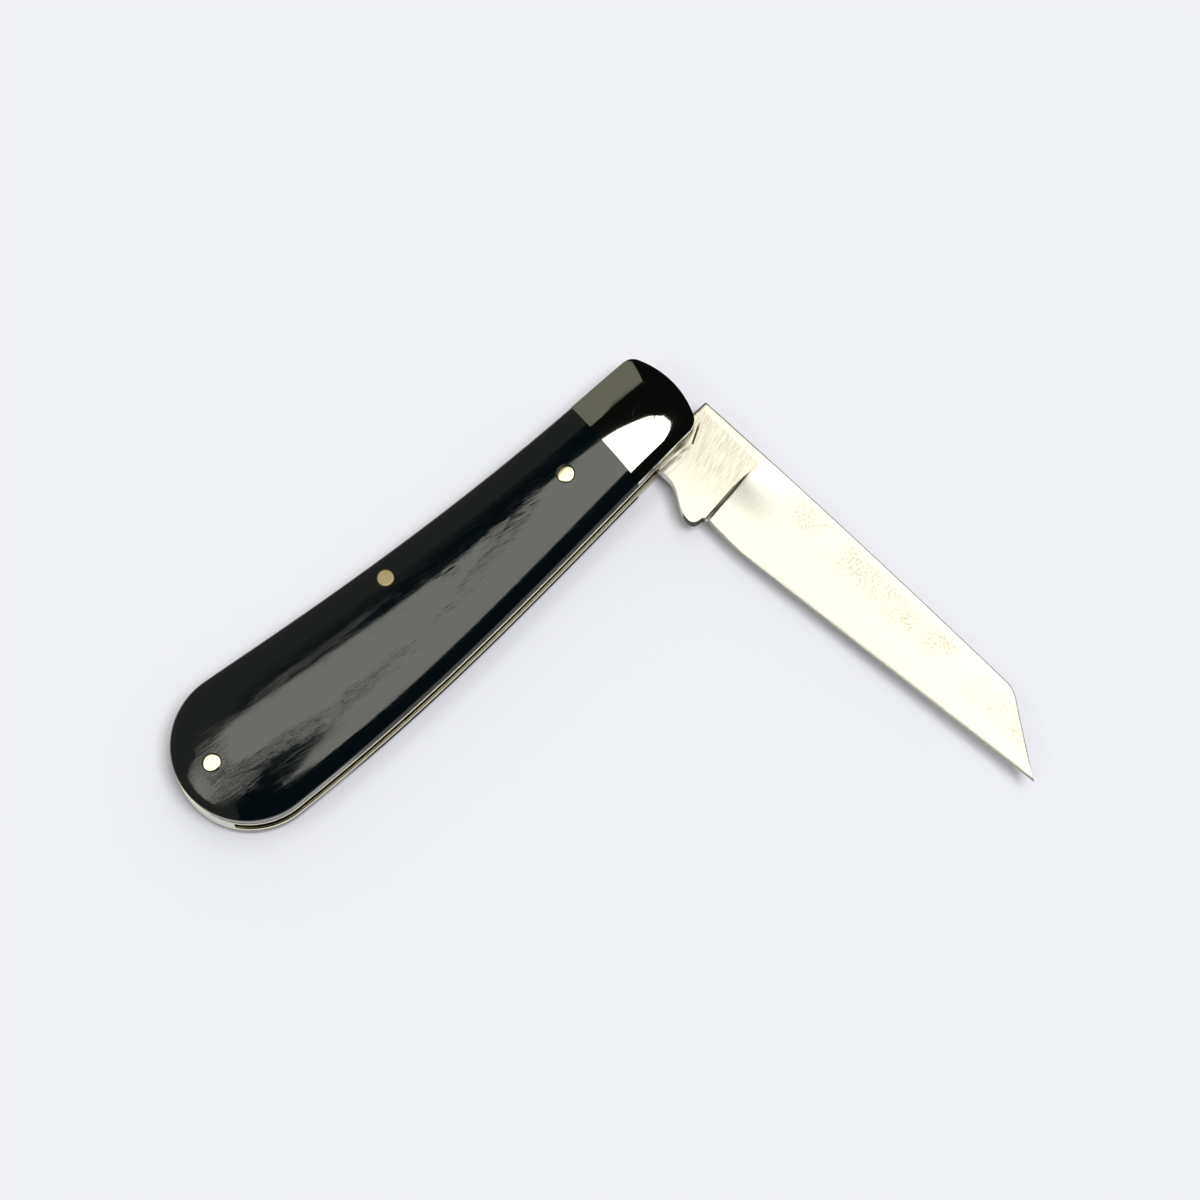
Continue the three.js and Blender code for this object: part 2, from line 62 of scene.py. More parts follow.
right = Vector((cos(HANDLE_TURN), -sin(HANDLE_TURN), 0))
level_up = Vector((sin(HANDLE_TURN), cos(HANDLE_TURN), 0))
up = level_up * cos(CAMERA_TILT) + Vector((0, 0, sin(CAMERA_TILT)))
backwards = right.cross(up)
lens = bpy.data.cameras.new("camera")
lens.lens, lens.sensor_width = 135, 36
lens.clip_start, lens.clip_end = 0.05, 20
camera = bpy.data.objects.new("camera", lens)
camera.matrix_world = (Matrix.Translation(AIM + backwards * CAMERA_DISTANCE)
                       @ Matrix((right, up, backwards)).transposed().to_4x4())
bpy.context.scene.collection.objects.link(camera)
bpy.context.scene.camera = camera
bpy.context.scene.view_settings.view_transform = "Standard"
print("camera at", [round(n / MM, 1) for n in camera.matrix_world.translation], "mm")

# %% [markdown]
# Materials are sums: a little of this noise, times that mask, plus a colour. Written node by node a
# sum is hard to read, so one small class wraps a socket and lets plain Python operators add the Math
# nodes. A second class holds one material, or the world, and adds every other kind of node.

# %% Shader sums
class Wire:
    """A number that flows out of a node. Operators on it add Math nodes and give a new Wire."""

    def __init__(self, tree, socket):
        self.tree, self.socket = tree, socket

    def maths(self, operation, *values):
        return self.tree.add("ShaderNodeMath", {"operation": operation}, dict(enumerate(values)))

    def __add__(self, other):
        return self.maths("ADD", self, other)

    def __radd__(self, other):
        return self.maths("ADD", other, self)

    def __sub__(self, other):
        return self.maths("SUBTRACT", self, other)

    def __rsub__(self, other):
        return self.maths("SUBTRACT", other, self)

    def __mul__(self, other):
        return self.maths("MULTIPLY", self, other)

    def __rmul__(self, other):
        return self.maths("MULTIPLY", other, self)

    def __pow__(self, other):
        return self.maths("POWER", self, other)

    def root(self):
        return self.maths("SQRT", self)

    def size(self):
        return self.maths("ABSOLUTE", self)

    def least(self, other):
        return self.maths("MINIMUM", self, other)

    def most(self, other):
        return self.maths("MAXIMUM", self, other)

    def step(self, start, end):
        """0 below start and 1 above end, with a smooth rise between."""
        return self.tree.add("ShaderNodeMapRange", {"interpolation_type": "SMOOTHSTEP"},
                             {"Value": self, "From Min": start, "From Max": end})


class Tree:
    """The nodes of one material or of the world."""

    def __init__(self, owner):
        owner.use_nodes = True
        self.nodes, self.links = owner.node_tree.nodes, owner.node_tree.links
        self.nodes.clear()

    def feed(self, socket, value):
        if isinstance(value, Wire):
            self.links.new(value.socket, socket)
        elif socket.type == "RGBA" and len(value) == 3:
            socket.default_value = (*value, 1)
        else:
            socket.default_value = value

    def add(self, kind, settings, sockets, output=0):
        """Any node: its type, its settings, then the values or links of its sockets."""
        node = self.nodes.new(kind)
        for name, value in settings.items():
            setattr(node, name, value)
        for name, value in sockets.items():
            self.feed(node.inputs[name], value)
        return Wire(self, node.outputs[output]) if node.outputs else None

    def place(self, turn=0, long=(1, 1, 1)):
        """Where a point of the piece is, in millimetres, on axes turned about Z by an angle. A
        pattern on it is drawn out by so much along each of those axes."""
        here = self.add("ShaderNodeTexCoord", {}, {}, "Object")
        return self.add("ShaderNodeMapping", {"vector_type": "TEXTURE"}, {
            "Vector": here, "Rotation": (0, 0, turn), "Scale": tuple(MM * size for size in long)})

    def split(self, vector):
        node = self.nodes.new("ShaderNodeSeparateXYZ")
        self.feed(node.inputs[0], vector)
        return [Wire(self, socket) for socket in node.outputs]

    def noise(self, vector, scale, detail=2, rough=0.5, twist=0):
        return self.add("ShaderNodeTexNoise", {}, {
            "Vector": vector, "Scale": scale, "Detail": detail, "Roughness": rough, "Distortion": twist})

    def blend(self, share, first, second):
        return self.add("ShaderNodeMix", {"data_type": "RGBA"}, {0: share, 6: first, 7: second}, 2)

    def bump(self, micrometres, height):
        return self.add("ShaderNodeBump", {}, {
            "Strength": 1.0, "Distance": micrometres * MM * MM, "Height": height})


def finish_of(name, colour, **constants):
    """A Principled material with its constants on its own sockets, its nodes and those sockets."""
    material = bpy.data.materials.new(name)
    tree = Tree(material)
    shader = tree.nodes.new("ShaderNodeBsdfPrincipled")
    tree.add("ShaderNodeOutputMaterial", {}, {"Surface": Wire(tree, shader.outputs[0])})
    tree.feed(shader.inputs["Base Color"], colour)
    for socket, value in constants.items():
        tree.feed(shader.inputs[socket.replace("_", " ")], value)
    return material, tree, shader.inputs


print("operators on a Wire:", sum(name.startswith("__") for name in vars(Wire)) - 1)

# %% [markdown]
# Black polish shows lamps and hardly anything else, and the photograph shows its whole room in it: a
# big soft window overhead, whose light runs on in a strip towards the butt, a dark ceiling round it,
# a dim wall behind the back of the knife and nothing beyond its nose. So the window is a glowing
# panel with that outline, in millimetres from the pivot. The camera doesn't see it.

# %% Window
WINDOW_HEIGHT = 1500
WINDOW = [(-1430, 420), (-1350, -10), (-800, 60), (-340, 145), (-40, 235), (65, 212), (95, 174),
          (70, 130), (45, -30), (45, -300), (110, -440), (380, -425), (440, -400), (525, -210),
          (585, -35), (620, 200), (600, 350), (560, 376), (80, 405), (-75, 415), (-440, 550),
          (-1100, 635)]
WINDOW_GLOW = 2.4


def plate(name, corners, height):
    """A flat face with the given corners at one height, all in millimetres."""
    mesh = bpy.data.meshes.new(name)
    mesh.from_pydata([(x * MM, y * MM, height * MM) for x, y in corners], [], [range(len(corners))])
    thing = bpy.data.objects.new(name, mesh)
    bpy.context.scene.collection.objects.link(thing)
    return thing


window = plate("window", WINDOW, WINDOW_HEIGHT)
window.visible_camera = window.visible_shadow = False
glow = bpy.data.materials.new("window_glow")
tree = Tree(glow)
tree.add("ShaderNodeOutputMaterial", {}, {"Surface": tree.add(
    "ShaderNodeEmission", {}, {"Color": (1, 0.995, 0.9), "Strength": WINDOW_GLOW})})
window.data.materials.append(glow)
print("window of", len(WINDOW), "corners at", WINDOW_HEIGHT, "mm")

# %% [markdown]
# The world does two jobs, told apart by the kind of ray. To rough surfaces it is a grey fill, a little
# brighter ahead of the nose. To polish it is the room: wall, ceiling and the bright table edge in
# front. A wide sun stands high, towards the lower right of the photograph, so the shadow is short and
# soft. Fill, sun and window together light the table at a plain level, so a colour comes out about as
# it is written.

# %% Room, sun and table
FILL, FILL_LEAN = 0.24, 0.22   # all round, and how much more of it comes from ahead of the nose
SUN = 1.77
SUN_WIDTH = radians(18)
SUN_FROM = radians(-38)      # in the photograph, from the right and below
SUN_RISE = radians(77)
BACKGROUND = (0.879, 0.888, 0.922)
TABLE_COLOUR = (0.864, 0.873, 0.931)
TABLE_HALF = 3000

world = bpy.data.worlds.new("room")
bpy.context.scene.world = world
room = Tree(world)
ray = room.nodes.new("ShaderNodeLightPath")
camera_ray, glossy_ray = (Wire(room, ray.outputs[name]) for name in ("Is Camera Ray", "Is Glossy Ray"))
way_x, way_y, way_z = room.split(room.add("ShaderNodeTexCoord", {}, {}, "Generated"))
wall = way_y.step(0.41, 0.51) * (1 - way_x.step(0.50, 0.60))
wall = wall.most((way_y - way_x * 0.9).step(0.15, 0.21) * (1 - way_x.step(0.30, 0.46)))
front = (-1 * way_y).step(0.5, 0.9) * (1 - way_z.step(0.08, 0.34))
low = (1 - way_z.step(0.0, 0.10)) * (1 - way_x.step(0.2, 0.5)) * 0.12
seen = room.blend(wall, (0.004, 0.0045, 0.004), (0.185, 0.183, 0.145))
seen = room.blend(front.most(low), seen, (0.85, 0.85, 0.80))
grey = room.add("ShaderNodeCombineXYZ", {}, dict(enumerate([way_x * FILL_LEAN + FILL] * 3)))
light = room.blend(glossy_ray, grey, seen)
light = room.blend(camera_ray, light, BACKGROUND)
room.add("ShaderNodeOutputWorld", {}, {"Surface": room.add(
    "ShaderNodeBackground", {}, {"Color": light, "Strength": 1})})

sun = bpy.data.objects.new("sun", bpy.data.lights.new("sun", "SUN"))
sun.data.energy, sun.data.angle = SUN, SUN_WIDTH
sun_way = (right * cos(SUN_FROM) + level_up * sin(SUN_FROM)) * cos(SUN_RISE)
sun.rotation_euler = (sun_way + Vector((0, 0, sin(SUN_RISE)))).to_track_quat("Z", "Y").to_euler()
sun.visible_glossy = False
bpy.context.scene.collection.objects.link(sun)

corners = [(x * TABLE_HALF, y * TABLE_HALF) for x, y in ((-1, -1), (1, -1), (1, 1), (-1, 1))]
floor = plate("table", corners, 0)
floor.data.materials.append(finish_of("table_top", TABLE_COLOUR, Roughness=0.9, Specular_IOR_Level=0.1)[0])
print("sun stands", round(90 - SUN_RISE / radians(1)), "degrees off straight above")

# %% [markdown]
# The outline of the handle is the same as in the frame: two long curves for the back and the edge
# side, a round butt and a flatter round nose. Everything is given in millimetres from the pivot. Each
# curve is sampled finely once, and every ring below is that sample moved inwards.

# %% Outline of the handle
TOP = 10.2                   # from the table to the flat of the upper side
MIDDLE = TOP / 2
COVER = 3.1                  # thickness of a scale or bolster
LINER = 0.7
SPRING = 2.6
BUTT_RADIUS, BUTT = 10.3, np.array([-67.9, 4.65])
BUTT_ANGLES = (82, 265)
NOSE_RADIUS, NOSE = 13, np.array([-6.75, 1.3])
NOSE_REACH = 6.25
NOSE_BACK, NOSE_EDGE = 7.5, -5.6   # where back and edge side meet the nose
BACK_SWEEPS = (33.5, 7)      # how far the back leans on straight from the nose and from the butt
EDGE_SWEEPS, EDGE_DIP = (30, 26), -6.5   # the same for the edge side, and how low it leans
JOINT, LEAN = -6.55, 0.069   # where bolster and scale meet, and how that line leans
FINE = 1500


def towards(degrees):
    return np.stack([np.cos(np.radians(degrees)), np.sin(np.radians(degrees))], axis=-1)


def bezier(corners, t):
    """A curve that starts at the first corner, ends at the last and leans towards those between:
    each corner counts by a binomial share of t and 1 - t."""
    corners, t = np.asarray(corners, float), np.asarray(t)[:, None]
    if len(corners) == 3:
        shares = ((1 - t)**2, 2 * t * (1 - t), t**2)
    else:
        shares = ((1 - t)**3, 3 * t * (1 - t)**2, 3 * t**2 * (1 - t), t**3)
    return sum(share * corner for share, corner in zip(shares, corners))


def side_of(corners):
    """Points of a side and, for each, the direction square to it that leads inwards."""
    points = bezier(corners, np.linspace(0, 1, FINE))
    ahead = np.gradient(points, axis=0)
    ahead /= np.linalg.norm(ahead, axis=1, keepdims=True)
    return points, np.stack([-ahead[:, 1], ahead[:, 0]], axis=1)


back_end = BUTT + BUTT_RADIUS * towards(BUTT_ANGLES[0])
edge_start = BUTT + BUTT_RADIUS * towards(BUTT_ANGLES[1])
BACK = side_of([(NOSE_REACH, NOSE_BACK), (NOSE_REACH - BACK_SWEEPS[0], NOSE_BACK),
                back_end + BACK_SWEEPS[1] * towards(BUTT_ANGLES[0] - 90), back_end])
EDGE = side_of([edge_start, edge_start + EDGE_SWEEPS[1] * towards(BUTT_ANGLES[1] + 90),
                (NOSE_REACH - EDGE_SWEEPS[0], EDGE_DIP), (NOSE_REACH, NOSE_EDGE)])


def station_of(points):
    """How far ahead a point lies, measured between lines that lean as the joint does."""
    return points[..., 0] - LEAN * points[..., 1]


def on_side(side, inset, stations):
    """Points of a side moved inwards, at the given stations."""
    points = side[0] + inset * side[1]
    points = points[np.argsort(station_of(points))]
    return np.stack([np.interp(stations, station_of(points), points[:, i]) for i in (0, 1)], axis=-1)


def spread(points, count):
    """The same path with count points, spaced evenly along it."""
    length = np.concatenate([[0], np.cumsum(np.linalg.norm(np.diff(points, axis=0), axis=1))])
    at = np.linspace(0, length[-1], count)
    return np.stack([np.interp(at, length, points[:, i]) for i in (0, 1)], axis=-1)


print("back", round(float(np.ptp(BACK[0][:, 0])), 1), "mm long, edge side",
      round(float(np.ptp(EDGE[0][:, 0])), 1), "mm")

# %% [markdown]
# A scale is a slab of horn or dense black wood that was sawn flat, pinned to its liner, ground to
# shape and buffed. Buffing leaves a shallow crown across the handle, which bevels off to a steep wall
# at the liner. A box with a bevel would show the window as a rectangle with hard corners. Here the
# height is one formula, a shallow bow times a superellipse, so the window runs and bends in it as it
# does on the real one. The bolster has a flatter bevel, and a crease where back and nose meet.

# %% Crown and shoulder
BUTT_STATION = -67.9         # from here on the rings turn round the butt
POLE_STATION = -0.5          # the same for the nose
LAST_STATION = 4             # up to here the width of the handle is measured
CROWN_RISE = 0.30            # of the bow between the shoulders
SHOULDER_FOOT = 1.7          # how much of each side the bow leaves to the shoulder
CROWN_BEYOND = 0.6           # the bow is set out from a line this far outside the back
SCALE = (3.4, 1.8, 5.0)      # how far in the shoulder reaches, and the two powers of its curve
BOLSTER = (4.0, 1.26, 10.0)
RIDGE_DROP, DROP_FROM, DROP_TO = 0.75, -62, -40   # the ridge leaves the middle of the handle here
RIDGE_SWING, RIDGE_START = 0.015, 11.2      # and bends more to the edge side over the bolster
NOSE_FALL_START, NOSE_FALL_RADIUS = 4, 64   # and falls towards the nose

stations = np.linspace(BUTT_STATION, LAST_STATION, 600)
back_line = on_side(BACK, -CROWN_BEYOND, stations)[:, 1]
edge_line = on_side(EDGE, 0, stations)[:, 1]


def crown_drop(points):
    """How much lower the bow lies than its ridge: distance from the ridge squared, over twice the
    radius, where the radius gives the same rise at every width. Past the butt's centre and towards the
    nose it bows lengthwise too."""
    x, y = points[..., 0], points[..., 1]
    station = station_of(points)
    half_width = np.interp(station, stations, (back_line - edge_line) / 2)
    ridge = np.interp(station, stations, (back_line + edge_line) / 2)
    ridge = ridge - RIDGE_DROP * np.interp(x, (DROP_FROM, DROP_TO), (0, 1))
    ridge = ridge - RIDGE_SWING * np.maximum(x + RIDGE_START, 0)**2
    radius = (half_width - SHOULDER_FOOT)**2 / (2 * CROWN_RISE)
    beyond = np.minimum(x - BUTT[0], 0)
    nose = np.maximum(x + NOSE_FALL_START, 0)
    return ((y - ridge)**2 + beyond**2) / (2 * radius) + nose**2 / (2 * NOSE_FALL_RADIUS)


def shoulder_rise(inset, section):
    """Share of the full height at some distance in from the side: one root of 1 minus a power of
    what is left to the shoulder's end."""
    reach, flat, square = section
    left = 1 - np.clip(inset / reach, 0, 1)
    return (1 - left**flat)**(1 / square)


def inset_of(points):
    """Distance in from the outline, along the handle's sides and butt."""
    flat = points.reshape(-1, 2)
    sides = np.concatenate([BACK[0], EDGE[0]])
    near = np.min(np.linalg.norm(flat[:, None] - sides[None], axis=2), axis=1)
    at_butt = flat[:, 0] < BUTT[0]
    near[at_butt] = BUTT_RADIUS - np.linalg.norm(flat[at_butt] - BUTT, axis=1)
    return near.reshape(points.shape[:-1])


def face_height(points, section):
    """Height of the polished face over the outside of the liner."""
    return shoulder_rise(inset_of(points), section) * (COVER - crown_drop(points))


along_ridge = np.array([[-8.0, 1.0], [-40, 2.5], [-67, 4.6]])
print("face height over the liner along the ridge:", np.round(face_height(along_ridge, SCALE), 2))

# %% [markdown]
# Each cover is a stack of rings that starts in the middle of its flat inner face, goes out to the
# liner, climbs the wall and closes in over the crown. The foot stands a hair inside the liner, so
# the brass shows its rounded rim. The rings are open where bolster and scale meet, and one flat face
# closes that end. The same stack, turned over, makes the mark side.

# %% Rings of the scale
ALONG, AROUND, UP_SHOULDER, OVER_CROWN = 120, 90, 30, 22
JOINT_GAP = 0.05
RIM = 0.06                   # of the liner that shows outside the cover's foot
WALL, WALL_BLEND = 0.22, 0.5   # the shoulder up to the first inset stands upright over the foot
FAR = 99                     # more than any inset


def scale_ring(inset):
    """Once round the scale at one inset: from the joint along the back, round the butt and back
    along the edge side to the joint."""
    at = np.linspace(JOINT - JOINT_GAP / 2, BUTT_STATION, ALONG)
    back, edge = on_side(BACK, inset, at), on_side(EDGE, inset, at)
    arc = BUTT + (BUTT_RADIUS - inset) * towards(np.linspace(*BUTT_ANGLES, 200))
    past = EDGE[0] + inset * EDGE[1]
    past = past[station_of(past) < BUTT_STATION]
    butt = spread(np.concatenate([back[-1:], arc, past, edge[-1:]]), AROUND)
    return np.concatenate([back, butt[1:-1], edge[::-1]])


def standing(inset):
    """Where a point of the shoulder stands: over the foot at first, and from the second inset on
    where the curve has it."""
    return np.interp(inset, (0, WALL, WALL_BLEND, FAR), (RIM, RIM, WALL_BLEND, FAR))


def middle_of(ring, straight):
    """Where each point of a ring ends up when the ring closes in: halfway across the handle on its
    two straight runs, and on their last middle round the end."""
    first, last = ring[:straight], ring[-straight:][::-1]
    middle = (first + last) / 2
    around = np.repeat(middle[-1:], len(ring) - 2 * straight, axis=0)
    return np.concatenate([middle, around, middle[::-1]])


print("points round a scale:", len(scale_ring(0)))

# %% [markdown]
# The bolster's ring turns two corners, where back and edge side meet the flatter nose. They are round
# at the liner and sharpen upwards to the crease that the file left between side and nose.

# %% Rings of the bolster
NOSE_COLUMNS, CORNER_COLUMNS, CHEEK_COLUMNS = 90, 14, 60
NOSE_SHARE = 0.69            # how much narrower the shoulder is over the nose
CORNER, CREASE, CREASE_INSET = 1.3, 0.08, 0.9   # corner at the liner, crease higher up, from there on


def nose_crossing(side, inset, radius):
    """Where a side moved inwards reaches a circle about the nose's centre."""
    points = side[0] + inset * side[1]
    points = points[points[:, 0] > NOSE[0]]
    far = np.linalg.norm(points - NOSE, axis=1)
    order = np.argsort(far)
    return np.array([np.interp(radius, far[order], points[order, i]) for i in (0, 1)])


def bolster_ring(inset):
    """Once round the bolster at one inset: from the joint along the edge side, over the nose and
    back along the back to the joint. Its corners are round at the liner and sharpen to a crease."""
    radius = NOSE_RADIUS - NOSE_SHARE * inset
    corner = max(CREASE, CORNER + (CREASE - CORNER) * inset / CREASE_INSET)
    parts = []
    for side, way in ((EDGE, 1), (BACK, -1)):
        tip = nose_crossing(side, inset, radius)
        begin = nose_crossing(side, inset, radius - corner)
        leave = np.degrees(np.arctan2(*(tip - NOSE)[::-1])) + way * np.degrees(corner / radius)
        straight = on_side(side, inset, np.linspace(JOINT + JOINT_GAP / 2, POLE_STATION, CHEEK_COLUMNS))
        rest = on_side(side, inset, np.linspace(POLE_STATION, station_of(begin), CHEEK_COLUMNS))
        turn = bezier([begin, tip, NOSE + radius * towards(leave)], np.linspace(0, 1, CORNER_COLUMNS))
        parts.append((straight, rest[1:], turn[1:], leave))
    (straight, rest, turn, leave), (back_straight, back_rest, back_turn, back_leave) = parts
    over = NOSE + radius * towards(np.linspace(leave, back_leave, NOSE_COLUMNS))
    return np.concatenate([straight, rest, turn, over[1:-1], back_turn[::-1], back_rest[::-1],
                           back_straight[::-1]])


print("points round a bolster:", len(bolster_ring(0)))

# %% [markdown]
# A numpy grid becomes a mesh in one step: its points row by row, and quads between neighbours. Points
# that fall together, as at a pole, are merged afterwards, and edges sharper than an angle stay hard.
# The print of open edges and volume shows that a piece is closed and that its faces point outwards.

# %% Meshes from grids
def build(name, points, faces, smooth_below=35):
    """A mesh object from points in millimetres, with doubled points merged and hard edges kept."""
    mesh = bpy.data.meshes.new(name)
    mesh.from_pydata(np.asarray(points, float).reshape(-1, 3) * MM, [], faces)
    body = bmesh.new()
    body.from_mesh(mesh)
    bmesh.ops.remove_doubles(body, verts=body.verts, dist=2e-7)
    bmesh.ops.dissolve_degenerate(body, dist=1e-8, edges=body.edges)
    body.to_mesh(mesh)
    open_edges = sum(len(edge.link_faces) != 2 for edge in body.edges)
    volume = body.calc_volume(signed=True)
    body.free()
    mesh.shade_smooth()
    mesh.set_sharp_from_angle(angle=radians(smooth_below))
    thing = bpy.data.objects.new(name, mesh)
    bpy.context.scene.collection.objects.link(thing)
    print(f"{name}: {len(mesh.vertices)} points, {open_edges} open edges, {volume / MM**3:.1f} mm3")
    return thing


def grid_faces(rows, columns, wrap=False):
    """Quads between neighbouring rows and columns. wrap joins the last column to the first."""
    i, j = np.meshgrid(np.arange(rows - 1), np.arange(columns if wrap else columns - 1), indexing="ij")
    k = (j + 1) % columns
    quads = np.stack([i * columns + j, i * columns + k, (i + 1) * columns + k, (i + 1) * columns + j], -1)
    return quads.reshape(-1, 4).tolist()


def cover_grid(ring_at, straight, section, way):
    """All rings of a cover, as an array of rings by points by three: three on the flat inner face,
    those up the shoulder, where a quarter turn spaces insets and heights alike, and those over the
    crown."""
    reach, flat, _ = section
    insets = reach * (1 - np.cos(np.linspace(0, pi / 2, UP_SHOULDER))**(2 / flat))
    foot = ring_at(RIM)
    rows = [(foot + (middle_of(foot, straight) - foot) * share, None) for share in (1, 2 / 3, 1 / 3)]
    rows += [(ring_at(standing(inset)), inset) for inset in insets]
    last = rows[-1][0]
    for share in np.linspace(0, 1, OVER_CROWN)[1:]:
        rows.append((last + (middle_of(last, straight) - last) * share, reach))
    base = MIDDLE + way * (SPRING / 2 + LINER)
    grid = []
    for points, inset in rows:
        height = 0 * points[:, 0]
        if inset is not None:
            height = shoulder_rise(inset, section) * (COVER - crown_drop(points))
        grid.append(np.column_stack([points, base + way * height]))
    return np.array(grid)


def cover(name, ring_at, straight, section, way):
    """A scale or bolster: its rings joined by quads, and one face over its open end."""
    grid = cover_grid(ring_at, straight, section, way)
    rows, columns = grid.shape[:2]
    faces = grid_faces(rows, columns)
    first = [row * columns for row in range(rows)]
    last = [row * columns + columns - 1 for row in range(rows)]
    faces.append(last + first[::-1][1:-1])
    if way < 0:
        faces = [face[::-1] for face in faces]
    return build(name, grid, faces)


print("rings per cover:", UP_SHOULDER + OVER_CROWN + 2)

# %% [markdown]
# The scales are nearly black and polished like glass, so what the eye reads is how the grain bends
# the reflection: fine ripples along the fibre, calm in most places, and wild along one sweep of
# figure and where the fibre comes up to the surface. Each pin hole has a hairline of darkness round
# it, filled with old polish, which is only a rough ring in the same material.

# %% Finish of the scales
CENTRE_PIN = np.array([-39.85, 7.99])
BUTT_PIN = np.array([-73.1, 6.0])
FRONT_PIN = np.array([-13.1, 1.5])
PIN_RADIUS, PIVOT_RADIUS = 1.19, 1.55
HAIRLINE = 0.12              # width of the dark line round a pin
FIBRE = radians(-10)         # the fibre's direction against the handle's


def from_pins(tree, x, y):
    """How far a point is from the nearest pin's centre line."""
    far = None
    for pin_x, pin_y in (CENTRE_PIN, BUTT_PIN, FRONT_PIN):
        this = ((x - float(pin_x)) ** 2 + (y - float(pin_y)) ** 2).root()
        far = this if far is None else far.least(this)
    return far


horn, tree, shader = finish_of("black_horn", (0.001, 0.003, 0.0045), IOR=1.66, Roughness=0.05)
x, y, z = tree.split(tree.place())
ripple = tree.noise(tree.place(FIBRE, (11, 1, 1)), 3.4, 3, 0.6, 0.2)
threads = tree.noise(tree.place(FIBRE, (14, 1, 1)), 4.6, 3, 0.65)
patches = tree.noise(tree.place(FIBRE, (3, 1, 1)), 0.5, 2, 0.6).step(0.36, 0.56)
sweep = (x + 42) * (x + 42) * 0.005 - 1.1
figure = (1 - (y - sweep).size().step(0.3, 1.9)) * (1 - x.step(-22, -16))
upper = (1 - (y - 2.0).size().step(0.6, 1.7)) * x.step(-37, -32) * (1 - x.step(-25, -20))
butt_end = (1 - x.step(-74, -68)) * y.step(-1.5, 0.5) * (1 - y.step(6.5, 8.5))
wild = (figure * (0.3 + patches * 0.7)).most(upper * patches * 0.35).most(butt_end * 0.8)
crest = (1 - (y - 6.8 + (x + 51) * 0.11).size().step(0.1, 0.8)) * x.step(-66, -58) * (1 - x.step(-45, -38))
fibres = threads.step(0.48, 0.60) * (0.10 + wild * 0.9 + patches * 0.3)
relief = ripple * (0.008 + wild * 0.8) + threads * (0.02 + wild * 0.45)
tree.feed(shader["Normal"], tree.bump(26, relief))
ring = 1 - from_pins(tree, x, y).step(PIN_RADIUS + HAIRLINE * 0.6, PIN_RADIUS + HAIRLINE)
shades = tree.blend(fibres, (0.0010, 0.0030, 0.0042), (0.0040, 0.0062, 0.0072))
tree.feed(shader["Base Color"], tree.blend(ring, shades, (0.0008, 0.0008, 0.0006)))
low_side = (1 - (y + 3.6).step(-1, 1)) * x.step(-58, -48)
wall = (1 - (z - MIDDLE).size().step(3.4, 4.1)) * x.step(-64, -54)
rough = fibres * 0.12 + crest * threads * 0.12 + ring.most(wall) * 0.7
tree.feed(shader["Roughness"], 0.04 + low_side * 0.06 + rough)
print("nodes in the horn:", len(horn.node_tree.nodes))

# %% [markdown]
# The metals are all polished or satin, told apart by tint and by the width of their highlight. Each
# is one call of the same recipe: fine lines left by the buff or the stone, drawn out along one
# direction, and a slow cloud of tint under them.

# %% Finishes of the metals
DARK_JOINT_AND_SHADE = (0.05, 0.04, 0.025)    # dark of the hairline round a pin, and painted shade in the liners' slot and on the tang


def metal(name, colour, tint, roughness, lines, depth, turn=0, shade_band=None, rim=None):
    """Metal with lines that many times longer than wide and that many micrometres deep. Between two
    distances from the middle plane it may get painted shade, and a pin dark outside a radius."""
    material, tree, shader = finish_of(name, colour, Metallic=1.0, Roughness=roughness)
    grain = tree.noise(tree.place(turn, (lines, 1, 1)), 14, 3, 0.6)
    cloud = tree.noise(tree.place(), 0.35, 2, 0.5)
    shade = tree.blend(grain * 0.5 + cloud * 0.5, colour, tint)
    rough = roughness * 0.8 + grain * roughness * 0.4
    # Painted shade: darker, and rougher, between the two distances from the middle plane.
    if shade_band:
        near, far, shade_colour = shade_band
        away = (tree.split(tree.place())[2] - MIDDLE).size()
        share = away.step(near - 0.02, near) * (1 - away.step(far, far + 0.02))
        shade = tree.blend(share, shade, shade_colour)
        rough = rough + share * 0.4
    if rim:
        x, y, _ = tree.split(tree.place())
        shade = tree.blend(from_pins(tree, x, y).step(rim, rim + 0.05), shade, DARK_JOINT_AND_SHADE)
    tree.feed(shader["Base Color"], shade)
    tree.feed(shader["Roughness"], rough)
    tree.feed(shader["Normal"], tree.bump(depth, grain))
    return material


# The bolster gets painted shade on its wall, over the lowest 0.8 mm above the liner.
nickel_silver = metal("polished_nickel_silver", (0.71, 0.71, 0.68), (0.65, 0.65, 0.62), 0.035, 10, 0.2,
                      radians(30), shade_band=(SPRING / 2 + LINER + 0.02, 2.8, (0.16, 0.16, 0.145)))
# The liners get painted shade on their inner faces, where they face into the slot.
brass = metal("liner_brass", (0.94, 0.88, 0.64), (0.86, 0.78, 0.54), 0.18, 20, 0.8,
              shade_band=(0, SPRING / 2, DARK_JOINT_AND_SHADE))
pin_brass = metal("pin_brass", (0.72, 0.67, 0.46), (0.66, 0.60, 0.38), 0.07, 3, 0.1, rim=1.14)
# The centre pin gets a darker, rougher copy of the pin brass.
tan_pin_brass = metal("tan_pin_brass", (0.57, 0.475, 0.28), (0.52, 0.41, 0.22), 0.30, 3, 0.1, rim=1.06)
spring_steel = metal("spring_steel", (0.72, 0.71, 0.67), (0.62, 0.61, 0.57), 0.20, 20, 1.5)
print("finishes:", sorted(m.name for m in bpy.data.materials))
